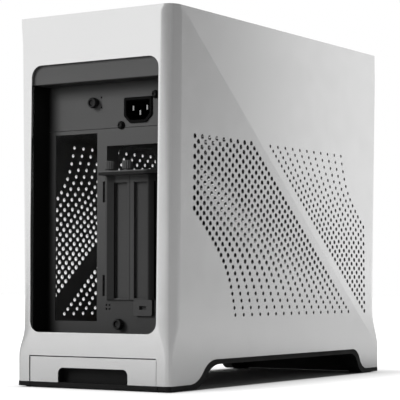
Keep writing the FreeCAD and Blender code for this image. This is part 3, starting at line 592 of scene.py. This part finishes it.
def paint_shade_along(material, axis, steps):
    """Paints shade into a finish along one direction, by steps of (place in mm, share of the colour)."""
    tree = material.node_tree
    shader = tree.nodes["Principled BSDF"]
    coords = tree.nodes.new("ShaderNodeTexCoord")
    split = tree.nodes.new("ShaderNodeSeparateXYZ")
    tree.links.new(coords.outputs["Object"], split.inputs["Vector"])
    spot = tree.nodes.new("ShaderNodeMapRange")
    spot.inputs["From Min"].default_value = steps[0][0] * MM
    spot.inputs["From Max"].default_value = steps[-1][0] * MM
    tree.links.new(split.outputs[axis], spot.inputs["Value"])
    level = tree.nodes.new("ShaderNodeFloatCurve")
    tree.links.new(spot.outputs["Result"], level.inputs["Value"])
    curve = level.mapping.curves[0]
    span = steps[-1][0] - steps[0][0]
    for place, share in steps[1:-1]:
        curve.points.new((place - steps[0][0]) / span, share)
    curve.points[0].location = (0, steps[0][1])
    curve.points[-1].location = (1, steps[-1][1])
    for point in curve.points:
        point.handle_type = "VECTOR"
    level.mapping.update()
    paint = shader.inputs["Base Color"].links[0].from_socket
    scaled = tree.nodes.new("ShaderNodeVectorMath")
    scaled.operation = "SCALE"
    tree.links.new(paint, scaled.inputs[0])
    tree.links.new(level.outputs["Value"], scaled.inputs["Scale"])
    tree.links.new(scaled.outputs["Vector"], shader.inputs["Base Color"])
    return material


# Painted shade: where the steel in the recess, the slots, the shelf, the brow and the pins falls into
# shade, as places in mm and shares of the colour
RECESS_SHADE_ACROSS = ((-66, 0.06), (-64, 0.06), (-58, 0.7), (-50, 1.0),
                 (52, 1.0), (60, 0.6), (64, 0.06), (66, 0.06))
RECESS_SHADE_UP = ((28, 0.5), (66, 0.55), (110, 0.72), (180, 0.9), (216, 1.0), (246, 1.0),
             (252, 0.95), (256, 0.45))
SLOT_SHADE_ACROSS = ((-70, 0.02), (-46, 0.02), (-42.4, 0.1), (-40.4, 0.75), (-23.4, 0.9),
               (-23.0, 0.45), (-22.4, 0.45), (-22.0, 0.9), (-9.0, 0.9), (-7.0, 0.3),
               (0.4, 0.3), (1.0, 0.95), (20, 0.95))
SHELF_SHADE_ACROSS = ((-70, 0.05), (-48, 0.05), (-43, 0.9), (20, 1.0))
SHELF_SHADE_UP = ((176, 0.12), (179.8, 0.15), (180.2, 1.0), (182, 1.0))
BROW_SHADE_UP = ((250, 0.25), (256.3, 0.25), (256.8, 1.0), (320, 1.0))
PIN_SHADE_ALONG = ((130, 0.02), (155.5, 0.03), (157.5, 0.5), (160, 0.6))
# Painted shade on the rear panel and inlet plate: dark at the recess walls, darker towards the bottom and
# just under the brow
recess_steel_painted_shade = paint_shade_along(powder_coat("recess_powder_coat_painted_shade", 0.082, 0.092, 0.1), "X", RECESS_SHADE_ACROSS)
paint_shade_along(recess_steel_painted_shade, "Z", RECESS_SHADE_UP)
# Painted shade on the slot covers and frame: dark past the second slot, a dark line between the covers
# and a dark jamb by the first
slot_steel_painted_shade = paint_shade_along(powder_coat("slot_powder_coat_painted_shade", 0.055, 0.065, 0.1), "X", SLOT_SHADE_ACROSS)
# Painted shade on the slot retainer: dark past the second slot and below its lit top edge
shelf_steel_painted_shade = paint_shade_along(powder_coat("shelf_powder_coat_painted_shade", 0.085, 0.095, 0.15), "X", SHELF_SHADE_ACROSS)
paint_shade_along(shelf_steel_painted_shade, "Z", SHELF_SHADE_UP)
# Painted shade on the inlet pins: dark inside the socket, lighter towards their tips
pin_nickel_painted_shade = paint_shade_along(finish_material("pin_nickel_painted_shade", grey(0.66), grey(0.72), 1.0, (0.18, 0.28), 1200.0,
                                         0.02 * MM, 0.2), "Y", PIN_SHADE_ALONG)
# Painted shade on the top frame: dark on its underside below the brow's edge
brow_steel_painted_shade = paint_shade_along(powder_coat("brow_powder_coat_painted_shade", 0.074, 0.084), "Z", BROW_SHADE_UP)
finish_of = {"rear_panel": recess_steel_painted_shade, "inlet_plate": recess_steel_painted_shade, "inlet_pins": pin_nickel_painted_shade,
             "top_frame": brow_steel_painted_shade, "slot_frame": slot_steel_painted_shade,
             "slot_retainer": shelf_steel_painted_shade, "slot_cover_1": slot_steel_painted_shade, "slot_cover_2": slot_steel_painted_shade,
             "slot_cover_3": slot_steel_painted_shade,
             "lock_plate": powder_coat("lock_powder_coat", 0.04, 0.05)}


# Mains inlet: a shroud with chamfered lower corners and a soft rim. The profile holds insets and
# places from the face, in mm
INLET_SIZE = (27.0 * MM, 20.0 * MM)
INLET_CHAMFER = 5.5 * MM
INLET_ROUND = 1.2 * MM
INLET_ROUND_STEPS = 4
INLET_PROFILE = ((0.2, -1.6), (-0.8, -1.6), (-0.8, -0.5), (-0.4, 0), (1.3, 0), (1.8, -0.5), (1.8, -20.0))
EAR_RADIUS = 3.4 * MM
EAR_HEIGHT = 1.6 * MM
EAR_EDGE = 0.3 * MM
EAR_RIDGES = 12
INLET_SCREW = (17.3 * MM, 12.0 * MM)


def inlet_ring(inset):
    """Outline (x, z) round the middle of the inlet, drawn in by the inset."""
    x, z = INLET_SIZE[0] / 2 - inset, INLET_SIZE[1] / 2 - inset
    cut = INLET_CHAMFER - inset * (2 - math.sqrt(2))
    corners = [Vector(corner) for corner in ((-x, z), (-x, cut - z), (cut - x, -z),
                                             (x - cut, -z), (x, cut - z), (x, z))]
    ring = []
    for index, corner in enumerate(corners):
        ways = [(corners[(index + side) % len(corners)] - corner).normalized() * INLET_ROUND
                for side in (-1, 1)]
        for step in range(INLET_ROUND_STEPS + 1):
            share = step / INLET_ROUND_STEPS
            ring.append(corner + ways[0] * (1 - share) ** 2 + ways[1] * share ** 2)
    return ring


def make_inlet():
    """Moulding of the inlet, swept along its profile of insets and places, and its two screw ears."""
    low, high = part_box("inlet_socket")
    middle = (low + high) / 2
    face = high.y
    profile = [(INLET_PROFILE[0][0], low.y)]
    profile += [(inset, face + behind * MM) for inset, behind in INLET_PROFILE]
    points, faces = [], []
    for inset, y in profile:
        ring = inlet_ring(inset * MM)
        points += [(middle.x + c.x, y, middle.z + c.y) for c in ring]
    count = len(ring)
    for row in range(len(profile) - 1):
        for step in range(count):
            after = (step + 1) % count
            faces.append((row * count + step, (row + 1) * count + step,
                          (row + 1) * count + after, row * count + after))
    faces.append(tuple(range(count)))
    faces.append(tuple(range(count * (len(profile) - 1), count * len(profile)))[::-1])
    ear, sides = turned([(EAR_RADIUS, 0, False), (EAR_RADIUS, EAR_HEIGHT - EAR_EDGE, False),
                         (EAR_RADIUS - EAR_EDGE, EAR_HEIGHT, False)], EAR_RIDGES, 0)
    for side in (-1, 1):
        first = len(points)
        place = (middle.x + side * INLET_SCREW[0], face - EAR_HEIGHT, middle.z - side * INLET_SCREW[1])
        points += [(place[0] + x, place[1] + z, place[2] - y) for x, y, z in ear]
        faces += [[first + corner for corner in side_face] for side_face in sides]
    mesh = bpy.data.meshes.new("inlet_moulding")
    mesh.from_pydata(points, [], faces)
    mesh.materials.append(materials["black_socket"])
    piece = bpy.data.objects.new("inlet_moulding", mesh)
    scene.collection.objects.link(piece)
    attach(piece, "chassis")
    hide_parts("inlet_socket")


# Screws with knurled or recessed heads

THREAD_RADIUS = 1.5 * MM
THUMB_HEAD = 6.5 * MM
THUMB_RIDGES = (18, 0.7 * MM)
RETAINER_HEAD = 4.2 * MM
RETAINER_RIDGES = (16, 0.6 * MM)
INLET_HEAD = 2.4 * MM
INLET_HEAD_PLACE = (3.0 * MM, 3.46 * MM)
INLET_HEAD_RIDGES = (12, 0)


def turned(profile, ridges, cut):
    """Rings of (radius, height, knurled) swept round the Z axis, closed at both ends."""
    steps = 2 * ridges
    points, faces = [], []
    for radius, height, knurled in profile:
        for step in range(steps):
            angle = math.tau * step / steps
            reach = radius - cut if knurled and step % 2 else radius
            points.append((reach * math.cos(angle), reach * math.sin(angle), height))
    for ring in range(len(profile) - 1):
        for step in range(steps):
            after = (step + 1) % steps
            faces.append((ring * steps + step, ring * steps + after,
                          (ring + 1) * steps + after, (ring + 1) * steps + step))
    faces.append(tuple(range(steps))[::-1])
    faces.append(tuple(range(steps * (len(profile) - 1), steps * len(profile))))
    return points, faces


def make_screws(node, places, profile, ridges, cut, along_y, finish="black_screw"):
    """One piece with a turned screw at each place, in the stead of a plain solid."""
    points, faces = [], []
    shape, sides = turned(profile, ridges, cut)
    for place in places:
        first = len(points)
        for x, y, z in shape:
            offset = (x, z, -y) if along_y else (x, y, z)
            points.append([a + b for a, b in zip(place, offset)])
        faces += [[first + corner for corner in face] for face in sides]
    mesh = bpy.data.meshes.new(node + "_turned")
    mesh.from_pydata(points, [], faces)
    mesh.materials.append(materials[finish])
    piece = bpy.data.objects.new(node + "_turned", mesh)
    scene.collection.objects.link(piece)
    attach(piece, "chassis")
    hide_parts(node)


def make_all_screws():
    """Two thumbscrews, the screws of the slots' bar and those of the inlet."""
    for node in ("thumbscrew_upper", "thumbscrew_lower"):
        low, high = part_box(node)
        full = (high.z - low.z) / 2
        length = high.y - low.y
        head = length - THUMB_HEAD
        profile = [(THREAD_RADIUS, 0, False), (THREAD_RADIUS, head, False), (full * 0.6, head, False),
                   (full * 0.6, head + 1.2 * MM, False), (full * 0.92, head + 1.5 * MM, False),
                   (full, head + 2.0 * MM, True), (full, length - 0.9 * MM, True),
                   (full * 0.86, length, False), (full * 0.62, length, False),
                   (full * 0.5, length - 1.6 * MM, False), (full * 0.2, length - 1.8 * MM, False)]
        middle = ((low.x + high.x) / 2, low.y, (low.z + high.z) / 2)
        make_screws(node, [middle], profile, *THUMB_RIDGES, True)
    low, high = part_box("retainer_screws")
    full = RETAINER_HEAD
    height = high.z - low.z
    profile = [(full * 0.7, 0, False), (full * 0.7, 1.2 * MM, False), (full, 1.6 * MM, True),
               (full, height - 0.9 * MM, True), (full * 0.88, height, False),
               (full * 0.5, height, False), (full * 0.4, height - 1.2 * MM, False)]
    places = [(x, (low.y + high.y) / 2, low.z) for x in (low.x + full, high.x - full)]
    make_screws("retainer_screws", places, profile, *RETAINER_RIDGES, False, "black_steel")
    low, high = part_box("inlet_screws")
    height = high.y - low.y
    profile = [(INLET_HEAD, 0, False), (INLET_HEAD, height * 0.45, False),
               (2.1 * MM, height * 0.8, False), (1.6 * MM, height, False),
               (1.3 * MM, height, False), (0.9 * MM, height * 0.4, False)]
    in_x, in_z = INLET_HEAD_PLACE
    places = [(high.x - in_x, low.y, low.z + in_z), (low.x + in_x, low.y, high.z - in_z)]
    make_screws("inlet_screws", places, profile, *INLET_HEAD_RIDGES, True)


def dress_nodes():
    """Each solid gets the finish of its slot."""
    for subpart in frame["record"]["subparts"]:
        node = nodes[subpart["node"]]
        node.data.materials.clear()
        node.data.materials.append(finish_of.get(subpart["node"], materials[subpart["material_slot"]]))


# Stage, light and camera

AMBIENT = 0.1
FLOOR_SIZE = 14.0
FLOOR_SHADE = 0.45
FLOOR_CLOUDS = 0.02
FOOTPRINT = (0.0745, 0.18, 0.0)
# Glow of the floor: the ray that sees it, the place it follows, where it starts and ends, its level. Held
# back near the footprint, the camera's glow paints a shadow round the case on top of its cast one; the
# glossy glows paint reflections, light and dark bands along Y that the metal mirrors
FLOOR_GLOWS = (("Is Camera Ray", "away", 0.0, 0.006, 0.45),
               ("Is Camera Ray", "away", 0.006, 0.08, 0.55),
               ("Is Glossy Ray", "along", -0.25, -0.5, 0.42),
               ("Is Glossy Ray", "along", -0.9, -1.4, -0.4),
               ("Is Glossy Ray", "along", -2.0, -2.6, 1.2),
               ("Is Glossy Ray", "along", 0.9, 1.8, 0.35),
               ("Is Glossy Ray", "along", 1.6, 4.0, 0.5))
# Flags: centre, size, turn, then the direction, span and levels of the grading
SIDE_FLAG = ((-1.5, -0.725, 1.2), (3.45, 2.8), (90, 0, 90),
             ((0.06, 1.0, 0.0), (-1.05, -0.55), (0.39, 0.262)))
REAR_FLAG = ((-2.0, 2.6, 1.2), (5.2, 2.8), (90, 0, 0),
             ((1.0, -6.6, 0.0), (5.2, 6.3), (0.3, 0.72)))
# Softboxes: place, target, size, power
OVERHEAD = ((0.2, 0.3, 2.2), (0, 0, 0.1), (1.6, 1.6), 30.0)
REAR_BOX = ((0.8, 1.9, 1.0), (0, 0.1, 0.15), (0.8, 0.8), 34.5)


def card(name, centre, size, turn):
    """Flat rectangle of the stage."""
    mesh = bpy.data.meshes.new(name)
    x, y = size[0] / 2, size[1] / 2
    mesh.from_pydata([(-x, -y, 0), (x, -y, 0), (x, y, 0), (-x, y, 0)], [], [(0, 1, 2, 3)])
    piece = bpy.data.objects.new(name, mesh)
    piece.location = centre
    piece.rotation_euler = [math.radians(angle) for angle in turn]
    scene.collection.objects.link(piece)
    return piece


def make_floor():
    """Pale floor with the shade of the case, brighter farther out by what looks at it: the glow held back
    near the case adds a painted shadow, and the glows for glossy rays are painted reflections.
    """
    floor = card("floor", (0, 0, 0), (FLOOR_SIZE, FLOOR_SIZE), (0, 0, 0))
    material, tree, shader, coords = start_material("pale_floor")
    shader.inputs["Roughness"].default_value = 0.9
    shader.inputs["Specular IOR Level"].default_value = 0.1
    clouds = noise(tree, coords, 3.0)
    paint = shade_range(tree, clouds, grey(FLOOR_SHADE), grey(FLOOR_SHADE + FLOOR_CLOUDS))
    tree.links.new(paint, shader.inputs["Base Color"])
    outside = coords
    for operation, value in (("ABSOLUTE", None), ("SUBTRACT", FOOTPRINT), ("MAXIMUM", (0, 0, 0))):
        step = tree.nodes.new("ShaderNodeVectorMath")
        step.operation = operation
        tree.links.new(outside, step.inputs[0])
        if value:
            step.inputs[1].default_value = value
        outside = step.outputs["Vector"]
    distance = tree.nodes.new("ShaderNodeVectorMath")
    distance.operation = "LENGTH"
    tree.links.new(outside, distance.inputs[0])
    path = tree.nodes.new("ShaderNodeLightPath")
    split = tree.nodes.new("ShaderNodeSeparateXYZ")
    tree.links.new(coords, split.inputs["Vector"])
    places = {"away": distance.outputs["Value"], "along": split.outputs["Y"]}
    total = None
    for ray, place, near, far, high in FLOOR_GLOWS:
        level = tree.nodes.new("ShaderNodeMapRange")
        level.inputs["From Min"].default_value = near
        level.inputs["From Max"].default_value = far
        level.inputs["To Max"].default_value = high
        tree.links.new(places[place], level.inputs["Value"])
        glow = tree.nodes.new("ShaderNodeMath")
        glow.operation = "MULTIPLY_ADD"
        tree.links.new(path.outputs[ray], glow.inputs[0])
        tree.links.new(level.outputs["Result"], glow.inputs[1])
        glow.inputs[2].default_value = 0.0
        if total:
            tree.links.new(total, glow.inputs[2])
        total = glow.outputs["Value"]
    shader.inputs["Emission Color"].default_value = (1, 1, 1, 1)
    tree.links.new(total, shader.inputs["Emission Strength"])
    floor.data.materials.append(material)


def make_flag(name, centre, size, turn, ramp):
    """Grey card beside the case that its bright sides reflect, its level graded along one direction."""
    flag = card(name, centre, size, turn)
    material, tree, shader, coords = start_material(name)
    shader.inputs["Roughness"].default_value = 1.0
    shader.inputs["Base Color"].default_value = (0, 0, 0, 1)
    shader.inputs["Emission Color"].default_value = (1, 1, 1, 1)
    direction, span, levels = ramp
    place = tree.nodes.new("ShaderNodeVectorMath")
    place.operation = "DOT_PRODUCT"
    place.inputs[1].default_value = direction
    tree.links.new(coords, place.inputs[0])
    level = tree.nodes.new("ShaderNodeMapRange")
    for socket, value in zip(("From Min", "From Max", "To Min", "To Max"), span + levels):
        level.inputs[socket].default_value = value
    tree.links.new(place.outputs["Value"], level.inputs["Value"])
    tree.links.new(level.outputs["Result"], shader.inputs["Emission Strength"])
    flag.data.materials.append(material)
    flag.visible_camera = False
    flag.visible_shadow = False


def make_world():
    """White to the camera and to mirrors, dim as a light."""
    world = bpy.data.worlds.new("studio")
    scene.world = world
    world.use_nodes = True
    tree = world.node_tree
    ground = tree.nodes["Background"]
    ground.inputs["Color"].default_value = (1, 1, 1, 1)
    path = tree.nodes.new("ShaderNodeLightPath")
    seen = path.outputs["Is Camera Ray"]
    for ray in ("Is Glossy Ray", "Is Transmission Ray"):
        largest = tree.nodes.new("ShaderNodeMath")
        largest.operation = "MAXIMUM"
        tree.links.new(seen, largest.inputs[0])
        tree.links.new(path.outputs[ray], largest.inputs[1])
        seen = largest.outputs["Value"]
    level = tree.nodes.new("ShaderNodeMapRange")
    level.inputs["To Min"].default_value = AMBIENT
    level.inputs["To Max"].default_value = 1.0
    tree.links.new(seen, level.inputs["Value"])
    tree.links.new(level.outputs["Result"], ground.inputs["Strength"])


def softbox(name, place, target, size, power):
    lamp = bpy.data.lights.new(name, "AREA")
    lamp.shape = "RECTANGLE"
    lamp.size, lamp.size_y = size
    lamp.energy = power
    piece = bpy.data.objects.new(name, lamp)
    piece.location = place
    piece.rotation_mode = "QUATERNION"
    piece.rotation_quaternion = (Vector(target) - Vector(place)).to_track_quat("-Z", "Y")
    piece.visible_glossy = False
    scene.collection.objects.link(piece)


def make_camera():
    lens = bpy.data.cameras.new("camera")
    lens.sensor_width = CAMERA_SENSOR
    lens.lens = CAMERA_LENS
    camera = bpy.data.objects.new("camera", lens)
    camera.location = CAMERA_PLACE
    camera.rotation_euler = [math.radians(angle) for angle in CAMERA_TURN]
    scene.collection.objects.link(camera)
    scene.camera = camera


dress_nodes()
sleeve = make_shell()
sleeve.data.materials.append(materials["silver_aluminium"])
make_inlet()
make_all_screws()
make_floor()
make_flag("side_flag", *SIDE_FLAG)
make_flag("rear_flag", *REAR_FLAG)
make_world()
softbox("overhead_softbox", *OVERHEAD)
softbox("rear_softbox", *REAR_BOX)
make_camera()
